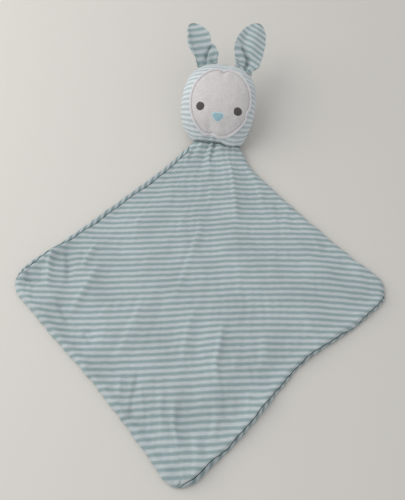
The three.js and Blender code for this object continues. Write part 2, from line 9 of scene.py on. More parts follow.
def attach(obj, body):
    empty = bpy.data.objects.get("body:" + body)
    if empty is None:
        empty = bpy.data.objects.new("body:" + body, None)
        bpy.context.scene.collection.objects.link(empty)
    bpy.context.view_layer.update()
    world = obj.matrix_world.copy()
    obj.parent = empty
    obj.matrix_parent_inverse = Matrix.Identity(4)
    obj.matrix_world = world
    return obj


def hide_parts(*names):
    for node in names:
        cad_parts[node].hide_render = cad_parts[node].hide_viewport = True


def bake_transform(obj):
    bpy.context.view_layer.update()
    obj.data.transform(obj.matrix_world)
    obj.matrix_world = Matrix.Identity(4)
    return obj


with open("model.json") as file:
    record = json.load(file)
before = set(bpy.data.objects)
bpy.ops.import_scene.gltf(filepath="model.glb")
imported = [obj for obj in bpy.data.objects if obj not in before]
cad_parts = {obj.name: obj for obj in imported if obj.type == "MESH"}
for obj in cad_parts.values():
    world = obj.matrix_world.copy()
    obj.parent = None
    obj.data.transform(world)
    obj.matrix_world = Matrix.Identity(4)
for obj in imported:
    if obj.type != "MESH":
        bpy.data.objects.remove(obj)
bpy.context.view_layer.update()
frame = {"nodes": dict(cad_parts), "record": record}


# Camera: it looks down on the toy from half a metre above the table, a little
# beyond the blanket's free corner.
camera_data = bpy.data.cameras.new("camera")
camera_data.lens = 39.6
camera_data.sensor_width = 36
camera = bpy.data.objects.new("camera", camera_data)
camera.location = (0.003458, -0.255484, 0.498)
camera.rotation_euler = (math.radians(25.7), 0, 0)
bpy.context.scene.collection.objects.link(camera)
bpy.context.scene.camera = camera


# Table: one wide plain sheet of warm pale grey, a little paler on the left as
# painted light from the window, and near white far away, where the window's light
# is weak.
def new_material(name, roughness):
    """A plain fibre surface, and the nodes and links that finish it."""
    material = bpy.data.materials.new(name)
    material.use_nodes = True
    nodes = material.node_tree.nodes
    shader = nodes["Principled BSDF"]
    shader.inputs["Roughness"].default_value = roughness
    shader.inputs["Specular IOR Level"].default_value = 0.2
    return material, nodes, material.node_tree.links, shader


def linear(red, green, blue):
    """A colour as it is seen on a screen, from 0 to 255, as light."""
    def channel(value):
        share = value / 255
        return share / 12.92 if share < 0.04045 else ((share + 0.055) / 1.055) ** 2.4
    return (channel(red), channel(green), channel(blue), 1)


def mixed(share, first, second):
    """Two colours mixed by a share. The first may come from another node."""
    tree = share.id_data
    node = tree.nodes.new("ShaderNodeMix")
    node.data_type = "RGBA"
    if isinstance(first, bpy.types.NodeSocket):
        tree.links.new(first, node.inputs["A"])
    else:
        node.inputs["A"].default_value = first
    node.inputs["B"].default_value = second
    tree.links.new(share, node.inputs["Factor"])
    return node.outputs["Result"]


def ranged(value, end, low, high):
    """A value that is brought from a range, or to one."""
    tree = value.id_data
    node = tree.nodes.new("ShaderNodeMapRange")
    node.inputs[f"{end} Min"].default_value = low
    node.inputs[f"{end} Max"].default_value = high
    tree.links.new(value, node.inputs["Value"])
    return node


TABLE_SIZE = 12
TABLE_DROP = 0.0005
TABLE_TONE_REACH = 0.3
TABLE_FAR_START = 1.2
TABLE_FAR_END = 2.5
table_mesh = bmesh.new()
bmesh.ops.create_grid(table_mesh, x_segments=1, y_segments=1, size=TABLE_SIZE / 2)
for corner in table_mesh.verts:
    corner.co.z = -TABLE_DROP
table_data = bpy.data.meshes.new("table")
table_mesh.to_mesh(table_data)
table_mesh.free()
table = bpy.data.objects.new("table", table_data)
bpy.context.scene.collection.objects.link(table)
table_finish, nodes, links, shader = new_material("table", 0.8)
place = nodes.new("ShaderNodeTexCoord")
across = nodes.new("ShaderNodeSeparateXYZ")
links.new(place.outputs["Object"], across.inputs[0])
# Painted light: the sheet's colour is paler on the left, towards the window, and darker on the right.
painted_window_light = ranged(across.outputs["X"], "From", -TABLE_TONE_REACH, TABLE_TONE_REACH)
tone = mixed(painted_window_light.outputs[0], linear(217, 214, 208), linear(209, 206, 200))
far = nodes.new("ShaderNodeVectorMath")
far.operation = "LENGTH"
links.new(place.outputs["Object"], far.inputs[0])
away = ranged(far.outputs["Value"], "From", TABLE_FAR_START, TABLE_FAR_END)
backdrop = mixed(away.outputs[0], tone, linear(246, 245, 242))
links.new(backdrop, shader.inputs["Base Color"])
table_data.materials.append(table_finish)


# Light: one wide soft window on the left, and pale walls all round that fill the
# shadows. The camera doesn't see the window itself.
window_data = bpy.data.lights.new("window", "AREA")
window_data.size = 1.25
window_data.energy = 8.2
window_data.color = (1, 0.985, 0.96)
window = bpy.data.objects.new("window", window_data)
window.location = (-0.86, 0.2, 0.78)
window.rotation_euler = (-window.location).to_track_quat("-Z", "Y").to_euler()
window.visible_camera = False
bpy.context.scene.collection.objects.link(window)
world = bpy.data.worlds.new("walls")
bpy.context.scene.world = world
world.use_nodes = True
world.node_tree.nodes["Background"].inputs["Color"].default_value = (0.97, 0.98, 1, 1)
world.node_tree.nodes["Background"].inputs["Strength"].default_value = 0.655
bpy.context.scene.view_settings.view_transform = "Standard"


# Blanket: two squares of striped cotton jersey, laid on each other and sewn
# together all round. It lies as a diamond. On two edges the back panel rolls over
# the seam to the front, and on the other two the front panel rolls under.
MM = 0.001
CLEARANCE = 0.3
SIDE = 280
CORNER_RADIUS = 23
PANEL_THICKNESS = 1.2
STRIPE_PERIOD = 6
EDGE_ROUND = 2
EDGE_ZONE = 12
EDGE_PUFF = 1.1
EDGE_WAVE = 1.3
ROLL_WIDTH = 4.5
ROLL_PUFF = 4.1
ROLL_FADE = 20
ROLL_NECK_GAP = 5
ROLL_NECK_FADE = 7
NECK_WIDTH = 51
NECK_THICKNESS = 8
NECK_HEIGHT = 12
NECK_SLOPE = 28
NECK_LEAN_REACH = 8
NECK_SQUARE_REACH = 16
NECK_GAP = 0.9
NECK_CUT = NECK_WIDTH / math.sqrt(2)
GATHER_REACH = 12
HEAD_TILT = math.radians(25)
HEAD_TURN = math.radians(-9)
EDGE_CELLS = 12
BESIDE_CELLS = 26
MIDDLE_CELLS = 128

neck_joint = next(j for j in frame["record"]["behaviour"]["joints"] if j["name"] == "head_nod")
toy_place = Vector((neck_joint["pos_m"][0], neck_joint["pos_m"][1], 0))
neck_line = Vector((math.cos(HEAD_TURN), math.sin(HEAD_TURN)))
neck_up = Vector((-neck_line.y, neck_line.x))


def mix(a, b, share):
    """A value a share of the way from one to another."""
    return a + (b - a) * share


def clamp(value, low=0, high=1):
    return min(high, max(low, value))


def smooth(share):
    """A share that starts and ends softly."""
    share = clamp(share)
    return share * share * (3 - 2 * share)


def bell(across, along=0):
    """A soft swell: 1 in its middle, less with the distance from it in widths."""
    return math.exp(-(across ** 2) - along ** 2)


# The lines of the cloth's grid, from edge to edge and closest together beside them
edge_lines = [EDGE_ZONE * k / EDGE_CELLS for k in range(EDGE_CELLS)]
edge_lines += [mix(EDGE_ZONE, NECK_CUT, k / BESIDE_CELLS) for k in range(BESIDE_CELLS)]
middle_lines = [mix(NECK_CUT, SIDE - NECK_CUT, k / MIDDLE_CELLS) for k in range(MIDDLE_CELLS + 1)]
lines = edge_lines + middle_lines + [SIDE - line for line in reversed(edge_lines)]
last_line = len(lines) - 1


def round_corner(across, along, distance, moved):
    """Takes a point of the square to a new distance from its edge."""
    from_across = min(across, SIDE - across)
    from_along = min(along, SIDE - along)
    at_neck = across < SIDE / 2 < along
    zone = NECK_CUT if at_neck else CORNER_RADIUS
    into_across = max(0, zone - from_across)
    into_along = max(0, zone - from_along)
    if distance >= zone:
        return across, along
    shift = (zone - moved) / (zone - distance)
    if into_across > 0 and into_along > 0:
        corner = into_across + into_along if at_neck else math.hypot(into_across, into_along)
        scale = shift * max(into_across, into_along) / corner
    else:
        scale = shift
    new_across = zone - into_across * scale if into_across > 0 else from_across
    new_along = zone - into_along * scale if into_along > 0 else from_along
    return (
        SIDE - new_across if across * 2 > SIDE else new_across,
        SIDE - new_along if along * 2 > SIDE else new_along,
    )


left_corner = Vector((-0.736, -0.562)) * SIDE
near_corner = Vector((-0.134, -1.26)) * SIDE
right_corner = Vector((0.607, -0.607)) * SIDE
neck_corner = Vector((0, NECK_WIDTH / 2))
to_right = (right_corner + near_corner - left_corner - neck_corner).normalized()
to_neck = (right_corner + neck_corner - left_corner - near_corner).normalized()

# How the edges leave their straight lines, in shares of the side. A bow runs from end
# to end: its depth, and the power that shifts its deepest place. A dent or a swell has
# its depth, its place along the edge and its reach.
UPPER_LEFT_BOW = (0.004, 1)
UPPER_LEFT_DENT = (0.008, 0.12, 0.1)
UPPER_RIGHT_BOW = (0.022, 0.6)
UPPER_RIGHT_SWELL = (0.009, 0.9, 0.08)
LOWER_LEFT_DENT = (0.022, 0.62, 0.4)
LOWER_RIGHT_DENT = (0.0375, 0.57, 0.19)


def lay_down(across, along):
    """Where a point of the square comes to lie on the table."""
    u, v = across / SIDE, along / SIDE

    def bow(form, run, nearness):
        depth, shift = form
        return depth * SIDE * math.sin(math.pi * clamp(run) ** shift) * nearness ** 3

    def swell(form, run, nearness):
        depth, place, reach = form
        return depth * SIDE * bell((run - place) / reach) * nearness ** 3

    laid = (
        left_corner * (1 - u) * (1 - v) + neck_corner * (1 - u) * v
        + near_corner * u * (1 - v) + right_corner * u * v
        + to_right * (bow(UPPER_LEFT_BOW, 1 - v, 1 - u) - swell(UPPER_LEFT_DENT, v, 1 - u))
        - to_right * swell(LOWER_RIGHT_DENT, v, u)
        + to_neck * (swell(LOWER_LEFT_DENT, u, 1 - v) - bow(UPPER_RIGHT_BOW, u, v))
        + to_neck * swell(UPPER_RIGHT_SWELL, u, v)
    )
    below = (across + SIDE - along - NECK_CUT) / math.sqrt(2)
    beside = (across - SIDE + along) / math.sqrt(2)
    sewn = neck_line * beside - neck_up * (below + NECK_GAP)
    return laid.lerp(sewn, bell(below / NECK_SQUARE_REACH))


# The rolls along the four edges. A roll's width is a share of the usual one, and its
# height is in millimetres: each is given at the edge's start and at its end, with where
# it begins to change and over what length. The dent along the seam and the ripples are
# in millimetres. Unrolled is the height where the edge lies flat, as a share.
edges = {
    "upper_left": {
        "width": (0.95, 1.55, 0, 90), "height": (3.6, 1.8, 40, 110),
        "dent": 0.9, "ripples": 0.9, "unrolled": 1,
    },
    "lower_right": {
        "width": (0.75, 0.45, 60, 150), "height": (ROLL_PUFF, ROLL_PUFF, 0, SIDE),
        "dent": 0.1, "ripples": 0.9, "unrolled": 1,
    },
    "lower_left": {
        "width": (0.9, 0.9, 0, SIDE), "height": (ROLL_PUFF, ROLL_PUFF, 0, SIDE),
        "dent": 0.1, "ripples": 1.6, "unrolled": 2.2,
    },
    "upper_right": {
        "width": (0.9, 0.9, 0, SIDE), "height": (ROLL_PUFF, ROLL_PUFF, 0, SIDE),
        "dent": 0.1, "ripples": 0.9, "unrolled": 1,
    },
}


def nearest_edge(across, along):
    """The name of the edge that a point of the square is nearest to, and its place on it."""
    if min(across, SIDE - across) < min(along, SIDE - along):
        return ("upper_left" if across < SIDE / 2 else "lower_right"), along
    return ("lower_left" if along < SIDE / 2 else "upper_right"), across


def along_edge(change, run):
    """A size that changes from the start of an edge to its end."""
    first, last, start, length = change
    return mix(first, last, smooth((run - start) / length))


def roll_at(across, along):
    """How far the edge seam has rolled in: to the front above zero, to the back below."""
    if min(across, SIDE - across) == min(along, SIDE - along):
        return 0
    edge, run = nearest_edge(across, along)
    if edge == "upper_left":
        room = min(run / ROLL_FADE, (SIDE - NECK_CUT - run - ROLL_NECK_GAP) / ROLL_NECK_FADE)
    else:
        start = NECK_CUT if edge == "upper_right" else 0
        room = min((run - start) / ROLL_FADE, (SIDE - run) / ROLL_FADE)
    wide = along_edge(edges[edge]["width"], run)
    width = ROLL_WIDTH * (wide + 0.16 * math.sin(run / 13) + 0.1 * math.sin(run / 5.3))
    to_front = 1 if edge in ("upper_left", "lower_right") else -1
    return to_front * width * math.sin(math.pi / 2 * clamp(room))


def edge_section(across, along, layer, face):
    """Distance in from the outline, turn of the cloth there, and cloth distance."""
    distance = min(across, SIDE - across, along, SIDE - along)
    square_end = across < NECK_CUT and SIDE - along < NECK_CUT
    if distance >= EDGE_ZONE or square_end:
        return distance, math.pi / 2, distance
    run = mix(layer * roll_at(across, along) + CLEARANCE, EDGE_ZONE, distance / EDGE_ZONE)
    turn = clamp(run / EDGE_ROUND, -1, 1) * math.pi / 2
    rounding = abs(run) if abs(run) > EDGE_ROUND else EDGE_ROUND * (1 - math.cos(turn))
    return rounding + (1 - face) / 2 * PANEL_THICKNESS * math.cos(turn), turn, run


def distance_from_neck(laid):
    """How far a laid point is from the end that is sewn into the neck."""
    beside = max(0, abs(laid.dot(neck_line)) - NECK_WIDTH / 2)
    below = max(0, -laid.dot(neck_up) - NECK_GAP)
    return math.hypot(beside, below)


# Folds and creases of the front panel, in millimetres. A fold is a soft broad swell:
# where it starts and ends, and its height. A crease is left by packing: its height
# beside the usual one, its width, how far the stripes slip there, and its points.
FOLD_WIDTH = 15
folds = (
    ((12.6, -16.8), (16.8, -117.6), 2.1),
    ((-28, -25), (-75.6, -100.8), 1.45),
    ((-123, -118), (-123, -157), 1.95),
    ((-168, -123), (-161, -179), 2.6),
    ((2.8, -213), (-5.6, -263), 1.8),
    ((-40.6, -272), (-40.6, -319), 2.3),
    ((78.4, -100.8), (100.8, -145.6), 1.6),
)
CREASE_HEIGHT = 2.1
creases = (
    (1.3, 2.6, 1.9, ((-162, -122), (-166, -141), (-164, -167))),
    (-0.9, 3.2, -0.9, ((-152, -120), (-147, -141), (-145, -163))),
    (1, 2.8, 1.2, ((-119, -115), (-129, -131), (-133, -146))),
    (0.9, 3.2, 1.3, ((-115, -134), (-126, -159), (-135, -177), (-141, -193))),
    (0.45, 4, 0.3, ((-71, -79), (-87, -99))),
    (1, 2.6, 0.5, ((-14, 0), (-7, -24), (-11, -48))),
    (0.8, 2, 0.4, ((-30, -3), (-33, -28))),
    (1, 2.8, 0.5, ((14, -15), (17, -50), (20, -104))),
    (0.6, 3, 0.3, ((37, -31), (48, -70))),
    (0.75, 3.4, 0.4, ((-17, -68), (-18, -100), (-26, -128), (-37, -159), (-43, -181))),
    (0.4, 3.5, 0.2, ((-36, -78), (-38, -110))),
    (0.9, 5.5, 0.5, ((-67, -165), (-80, -198), (-89, -224), (-95, -236))),
    (0.7, 3.4, 0.5, ((-17, -173), (-27, -198), (-32, -221), (-34, -245))),
    (1.25, 2.5, 1.1, ((4, -194), (1, -217), (-4, -238), (-2, -260))),
    (0.75, 5, 0.4, ((43, -205), (41, -228), (36, -248))),
    (0.4, 3, 0.2, ((15, -228), (13, -248))),
    (1.35, 2.6, 0.9, ((-41, -268), (-40, -291), (-35, -312))),
    (0.8, 2.8, 0.6, ((-51, -260), (-52, -280), (-49, -302))),
    (-0.8, 3, -0.5, ((-72, -243), (-77, -269), (-78, -291))),
    (0.45, 4, 0.3, ((-102, -178), (-113, -197))),
    (0.5, 3.5, 0.3, ((-5, -260), (-4, -289), (-8, -309))),
    (0.45, 3, 0.5, ((74, -66), (67, -102))),
    (0.5, 3, 0.5, ((96, -107), (102, -131))),
    (0.3, 4, 0.2, ((22, -134), (19, -180))),
    (0.4, 4, 0.2, ((-66, -126), (-76, -154))),
    (0.3, 4, 0.2, ((53, -120), (52, -164))),
    (-2.2, 7, -0.8, ((-176, -134), (-180, -148), (-177, -166))),
    (-1.3, 5, -0.6, ((-152, -176), (-146, -190), (-136, -203))),
    (-1.1, 4, -0.5, ((-124, -207), (-117, -222))),
    (0.9, 2.6, 0.7, ((-22, -296), (-20, -318), (-22, -336))),
    (0.8, 2.4, 0.6, ((26, -262), (24, -282))),
    (0.7, 2.6, 0.5, ((-90, -246), (-88, -268))),
    (0.6, 3, 0.4, ((-4, -44), (-8, -74))),
    (0.6, 2.6, 0.4, ((30, -22), (38, -46))),
)
crease_bounds = []
for _, _, _, points in creases:
    middle = sum((Vector(point) for point in points), Vector((0, 0))) / len(points)
    reach = max((Vector(point) - middle).length for point in points)
    crease_bounds.append((middle, reach))


def near_creases(laid, beyond):
    """Each crease near a laid point, the signed distance to it, and 0 at its ends to 1."""
    for crease, (middle, reach) in zip(creases, crease_bounds):
        if (laid - middle).length > reach + beyond:
            continue
        points = crease[3]
        nearest = (math.inf, 1, 0)
        for k, (start, end) in enumerate(zip(points, points[1:])):
            start, run = Vector(start), Vector(end) - Vector(start)
            away = laid - start
            share = clamp(away.dot(run) / run.length_squared)
            side = 1 if run.x * away.y - run.y * away.x > 0 else -1
            nearest = min(nearest, ((away - run * share).length, side, (k + share) / (len(points) - 1)))
        distance, side, share = nearest
        yield crease, side * distance, min(1, 4 * share, 4 * (1 - share))


def from_line(laid, start, end):
    """How far a point lies beside a line, and how far past its ends."""
    start, end = Vector(start), Vector(end)
    run = end - start
    share = (laid - start).dot(run) / run.length_squared
    beside = (laid - start - run * share).length
    past = max(0, -share, share - 1) * run.length
    return beside, past


# The gathers fan out from a point above the neck
FAN_POINT = 40
REST_HEIGHT = 1.5


@functools.cache
def fold_height(x, y):
    """Height of the front panel's folds, creases and fine wrinkles at a laid point."""
    laid = Vector((x, y))
    tallest = 0
    for start, end, height in folds:
        beside, past = from_line(laid, start, end)
        tallest = max(tallest, height * math.exp(-(beside ** 2 + past ** 2) / FOLD_WIDTH ** 2))
    fine = 0
    for (height, width, _, _), beside, end in near_creases(laid, 12):
        slope = width * (1.7 if beside > 0 else 0.6)
        fine += CREASE_HEIGHT * height * end * bell(beside / slope)
    radius = math.hypot(laid.x, FAN_POINT - laid.y)
    angle = math.atan2(laid.x, FAN_POINT - laid.y)
    streaks = noise.noise(Vector((angle * 17, radius / 60, 0.5)))
    streaks += 0.6 * noise.noise(Vector((angle * 41, radius / 35, 4.5)))
    soft = noise.noise(Vector((x, y, 0)) / 24)
    wander = 6 * noise.noise(Vector((x, y, 2)) / 50)
    crinkle = noise.noise(Vector(((x + wander) / 4.5, y / 26, 9)))
    crinkle *= 0.5 + noise.noise(Vector((x, y, 6)) / 40) + 0.25 * smooth((-y - 150) / 80)
    return max(0, REST_HEIGHT + tallest + fine + 0.5 * streaks + 0.6 * soft + 0.5 * crinkle)


@functools.cache
def stripe_place(laid_x, laid_y, front):
    """Cloth coordinates of a laid point in millimetres: along and across the stripes.

    The stripes are counted down from the neck. They bend a little over the whole square
    and slip at each crease.
    """
    x, y = laid_x / 100, laid_y / 100
    count = -1.53 - 17.53 * y - 0.25 * y * y + 0.7 * x - 0.35 * x * x - 0.36 * x ** 3
    if front:
        for (_, width, slip, _), beside, end in near_creases(Vector((laid_x, laid_y)), 60):
            step = math.tanh(beside / width) * bell(beside / 20)
            count -= 1.3 * slip / STRIPE_PERIOD * step * end / 2
    return laid_x, -count * STRIPE_PERIOD


def gathered_thickness(beside):
    """Thickness of one panel where both are gathered into the oval of the neck."""
    share = clamp(abs(beside) / (NECK_WIDTH / 2))
    return max(PANEL_THICKNESS, (NECK_THICKNESS * (1 - share ** 2.1) ** (1 / 2.1) - CLEARANCE) / 2)


def neck_lift(nearness):
    """How far the blanket's underside is lifted beside the neck."""
    at_neck = NECK_HEIGHT - NECK_THICKNESS * math.cos(HEAD_TILT)
    return max(0, at_neck * math.exp(-nearness / NECK_SLOPE) - CLEARANCE)


# The small pleats at the neck, and the valleys between them: each one's place across the
# neck, its height, its width and its reach down the blanket
neck_pleats = (
    (-22.5, 1.4, 1.7, 14), (-15.5, 1.9, 2.4, 24), (-8, -1.3, 1.5, 18), (-4.4, 2.9, 1.6, 22),
    (-1.4, -1.3, 1.1, 15), (4.5, 2.9, 4.6, 14), (12.5, 1.2, 1.8, 24), (18.5, 1.1, 1.8, 14),
)


def gather_ridges(beside, below):
    """Height of the small pleats that run down from the gathering stitches."""
    ridges = 0
    for middle, height, width, reach in neck_pleats:
        painted_window_light = width * (1 + below / 22)
        shift = middle * (1 + below / 70)
        ridges += height * math.exp(-((beside - shift) / painted_window_light) ** 2 - (below / reach) ** 1.5)
    return ridges


def panel_point(i, j, layer, face):
    """Where a point of a panel's skin lies, and its place on the sheet laid out flat."""
    across, along = lines[i], lines[j]
    inset, turn, cloth = edge_section(across, along, layer, face)
    distance = min(across, SIDE - across, along, SIDE - along)
    laid = lay_down(*round_corner(across, along, distance, inset))
    sheet_place = lay_down(*round_corner(across, along, distance, cloth))
    nearness = distance_from_neck(laid)
    gather = math.exp(-nearness / GATHER_REACH)
    spot = Vector((laid.x, laid.y, 0)) / 11
    wave = Vector((noise.noise(spot), noise.noise(spot + Vector((0, 0, 40)))))
    laid += wave * (EDGE_WAVE * math.exp(-inset / 9) * (1 - gather))
    thickness = mix(PANEL_THICKNESS, gathered_thickness(laid.dot(neck_line)), gather)
    middle = mix(PANEL_THICKNESS + CLEARANCE / 2, NECK_THICKNESS / 2, gather)
    faces_up = layer * math.sin(turn)

    # The edge's roll, with the dent along its seam and its ripples
    word, run = nearest_edge(across, along)
    edge = edges[word]
    rolled = smooth(roll_at(across, along) / ROLL_WIDTH)
    falls = mix(6, 9, rolled) if inset > ROLL_WIDTH else 3.5
    puff = mix(EDGE_PUFF * edge["unrolled"], along_edge(edge["height"], run), rolled)
    puff *= bell((inset - ROLL_WIDTH) / falls)
    puff -= edge["dent"] * rolled * bell(distance / 1.1)
    ripple = noise.noise(Vector((run / 5.5, distance / 16, 3.1 * layer)))
    puff += edge["ripples"] * ripple * math.exp(-distance / 9)

    upper = (1 + faces_up) / 2 * (1 - gather)
    lift = upper * (puff + fold_height(laid.x, laid.y) * smooth(inset / 6)) if upper > 0 else 0
    if layer > 0 and face > 0:
        below = max(0, -laid.dot(neck_up))
        ends = smooth((NECK_WIDTH / 2 + below / 2 - abs(laid.dot(neck_line))) / 5)
        lift += ends * (1.35 * gather_ridges(laid.dot(neck_line), below) - 0.4 * gather)
    height = middle + faces_up * (CLEARANCE + (1 + face) * thickness) / 2 + lift
    return lean_to_head(laid, height + neck_lift(nearness), nearness), sheet_place


def lean_to_head(laid, height, nearness):
    """Leans the gathered end back so that it lies square to the tilted head."""
    beside, below = laid.dot(neck_line), laid.dot(neck_up)
    depth = NECK_THICKNESS + neck_lift(0) - height
    weight = math.exp(-nearness / NECK_LEAN_REACH)
    leaned = below + NECK_GAP * (1 - math.cos(HEAD_TILT)) + depth * math.sin(HEAD_TILT)
    leaned_height = NECK_HEIGHT - NECK_GAP * math.sin(HEAD_TILT) - depth * math.cos(HEAD_TILT)
    ground = neck_line * beside + neck_up * mix(below, leaned, weight)
    return Vector((ground.x, ground.y, mix(height, leaned_height, weight)))


def make_piece(name, shape, cloth, finish):
    """A smooth closed piece with its cloth coordinates, in metres in the toy's frame."""
    coordinates = shape.loops.layers.uv.new("cloth")
    for face in shape.faces:
        face.smooth = True
        for loop in face.loops:
            loop[coordinates].uv = cloth[loop.vert.index]
    data = bpy.data.meshes.new(name)
    shape.to_mesh(data)
    shape.free()
    data.materials.append(finish)
    piece = bpy.data.objects.new(name, data)
    bpy.context.scene.collection.objects.link(piece)
    return piece


def doubled_cloth(columns, rows, half):
    """A flat grid of cloth with two skins, closed all round: its shape and each skin."""
    shape = bmesh.new()
    bmesh.ops.create_grid(shape, x_segments=columns, y_segments=rows, size=half)
    outside = list(shape.verts)
    extruded = bmesh.ops.extrude_face_region(shape, geom=shape.faces[:], use_keep_orig=True)
    inside = [item for item in extruded["geom"] if isinstance(item, bmesh.types.BMVert)]
    shape.verts.index_update()
    return shape, outside, inside


def blanket_panel(name, layer, finish):
    """One panel: layer is 1 for the front one and -1 for the back one."""
    shape, outside, inside = doubled_cloth(last_line, last_line, last_line / 2)
    cloth = {}
    for face, vertices in ((1, outside), (-1, inside)):
        for vertex in vertices:
            i = round(vertex.co.x + last_line / 2)
            j = round(vertex.co.y + last_line / 2)
            place, laid = panel_point(i, j, layer, face)
            vertex.co = toy_place + place * MM
            along, across = stripe_place(laid.x, laid.y, layer > 0)
            cloth[vertex.index] = (along * MM, across * MM)
    bmesh.ops.recalc_face_normals(shape, faces=shape.faces[:])
    return make_piece(name, shape, cloth, finish)


STRIPE_WAVER = 1.1
KNIT_WIDTH = 0.85
KNIT_HEIGHT = 0.75
KNIT_DEPTH = 0.12


def shaded(shader, colour, value):
    """Colours a surface, lighter or darker by a value."""
    tree = value.id_data
    toned = tree.nodes.new("ShaderNodeVectorMath")
    toned.operation = "SCALE"
    tree.links.new(colour, toned.inputs[0])
    tree.links.new(value, toned.inputs["Scale"])
    tree.links.new(toned.outputs[0], shader.inputs["Base Color"])


def relief(shader, height, strength, depth):
    """Gives a surface fine bumps, from a pattern of heights."""
    tree = height.id_data
    bump = tree.nodes.new("ShaderNodeBump")
    bump.inputs["Strength"].default_value = strength
    bump.inputs["Distance"].default_value = depth
    tree.links.new(height, bump.inputs["Height"])
    tree.links.new(bump.outputs[0], shader.inputs["Normal"])


def jersey(name, dark, pale):
    """Striped cotton jersey: soft-edged stripes of two yarns in fine knitted rows."""
    material, nodes, links, shader = new_material(name, 0.9)
    shader.inputs["Sheen Weight"].default_value = 0.4
    shader.inputs["Sheen Roughness"].default_value = 0.45

    def math_node(operation, first, second=None, third=None):
        node = nodes.new("ShaderNodeMath")
        node.operation = operation
        for socket, value in zip(node.inputs, (first, second, third)):
            if isinstance(value, (int, float)):
                socket.default_value = value
            elif value is not None:
                links.new(value, socket)
        return node.outputs[0]

    place = nodes.new("ShaderNodeUVMap")
    place.uv_map = "cloth"
    parts = nodes.new("ShaderNodeSeparateXYZ")
    links.new(place.outputs["UV"], parts.inputs[0])
    along, across = parts.outputs["X"], parts.outputs["Y"]

    def noise_node(scale_along, scale_across, detail):
        stretch = nodes.new("ShaderNodeMapping")
        stretch.inputs["Scale"].default_value = (scale_along, scale_across, 1)
        links.new(place.outputs["UV"], stretch.inputs["Vector"])
        node = nodes.new("ShaderNodeTexNoise")
        node.inputs["Scale"].default_value = 1
        node.inputs["Detail"].default_value = detail
        links.new(stretch.outputs[0], node.inputs["Vector"])
        return node.outputs[0]

    waver = math_node("MULTIPLY_ADD", noise_node(70, 40, 2), STRIPE_WAVER * MM, -STRIPE_WAVER / 2 * MM)
    wandered = math_node("ADD", across, waver)
    turn = math_node("MULTIPLY", wandered, 2 * math.pi / (STRIPE_PERIOD * MM))
    wave = math_node("COSINE", turn)
    band = ranged(wave, "From", -1, 1)
    band.interpolation_type = "SMOOTHSTEP"
    stripes = mixed(band.outputs[0], pale, dark)

    # Yarn: each row is a little lighter or darker than the next
    yarn = ranged(noise_node(160, 1300, 3), "To", 0.8, 1.2)
    blotch = ranged(noise_node(28, 28, 2), "To", 0.84, 1.16)
    shaded(shader, stripes, math_node("MULTIPLY", yarn.outputs[0], blotch.outputs[0]))

    # Knit: columns of small V-shaped stitches
    column = math_node("MULTIPLY", along, 1 / (KNIT_WIDTH * MM))
    beside = math_node("PINGPONG", column, 0.5)
    row = math_node("MULTIPLY", across, 1 / (KNIT_HEIGHT * MM))
    slanted = math_node("MULTIPLY_ADD", beside, 1.1, row)
    stitch = math_node("SINE", math_node("MULTIPLY", slanted, 2 * math.pi))
    rib = math_node("SINE", math_node("MULTIPLY", beside, 2 * math.pi))
    relief(shader, math_node("MULTIPLY_ADD", stitch, 0.35, rib), 0.35, KNIT_DEPTH * MM)
    return material


striped_jersey = jersey("striped_jersey", linear(142, 161, 163), linear(187, 195, 197))
front_panel = blanket_panel("front_panel", 1, striped_jersey)
# Painted shade: the back panel's jersey is a darker copy of the front's, for its rolled edges, which
# turn away from the light.
shaded_back_jersey = jersey("shaded_back_jersey", linear(126, 146, 149), linear(175, 185, 188))
back_panel = blanket_panel("back_panel", -1, shaded_back_jersey)
neck_point = toy_place + Vector((0, 0, NECK_HEIGHT * MM))
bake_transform(front_panel)
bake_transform(back_panel)
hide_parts("blanket_front_panel")
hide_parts("blanket_back_panel")


# Head: a front and a back cover of the same jersey, cut round, sewn together
# along their edge with the ears between them, turned and stuffed firmly. The
# stripes bend in towards the seam, where the flat cloth is drawn round.
HEAD_LENGTH = 87
HEAD_WIDTH = 81
HEAD_DEPTH = 54
HEAD_OFFSET = 4
HEAD_MIDDLE = HEAD_LENGTH * 0.47
HEAD_SECTION = 2.1
NECK_ROUND = 2.1
CROWN_ROUND = 2.6
COVER_THICKNESS = 1.6
CHEEK_HEIGHT = 1.6
CROWN_DENT = 1.2
SEAM_RIPPLE = 0.7
OVERHANG_HEIGHT = 1.4
OVERHANG_DROP = 2.6
neck_share = (1 - (NECK_WIDTH / HEAD_WIDTH) ** NECK_ROUND) ** (1 / NECK_ROUND)
head_turn = Matrix.Rotation(HEAD_TURN, 4, "Z") @ Matrix.Rotation(HEAD_TILT, 4, "X")
head_frame = Matrix.Translation(neck_point / MM) @ head_turn


def head_half_width(from_neck):
    """Half the width of the head's outline, rounder at the crown than at the neck."""
    over_crown = from_neck > HEAD_MIDDLE
    reach = HEAD_LENGTH - HEAD_MIDDLE if over_crown else HEAD_MIDDLE / neck_share
    power = CROWN_ROUND if over_crown else NECK_ROUND
    share = clamp(abs(from_neck - HEAD_MIDDLE) / reach)
    return HEAD_WIDTH / 2 * (1 - share ** power) ** (1 / power)


def head_half_depth(from_neck):
    """Half the depth of the stuffed head, which is thinnest at the neck."""
    share = clamp(from_neck / HEAD_LENGTH)
    swell = HEAD_DEPTH / 2 * math.sin(math.pi * share) ** 0.62
    return max(swell, NECK_THICKNESS / 2 * (1 - share))


def head_middle_at(from_neck):
    """The head sits a little to one side of its neck."""
    return -HEAD_OFFSET * clamp(from_neck / (HEAD_LENGTH * 0.2))


def rest_depth(from_neck, above):
    """Depth at which the tilted head meets the table."""
    return (above - NECK_HEIGHT - from_neck * math.sin(HEAD_TILT)) / math.cos(HEAD_TILT)


head_centre = Vector((-HEAD_OFFSET, HEAD_MIDDLE))


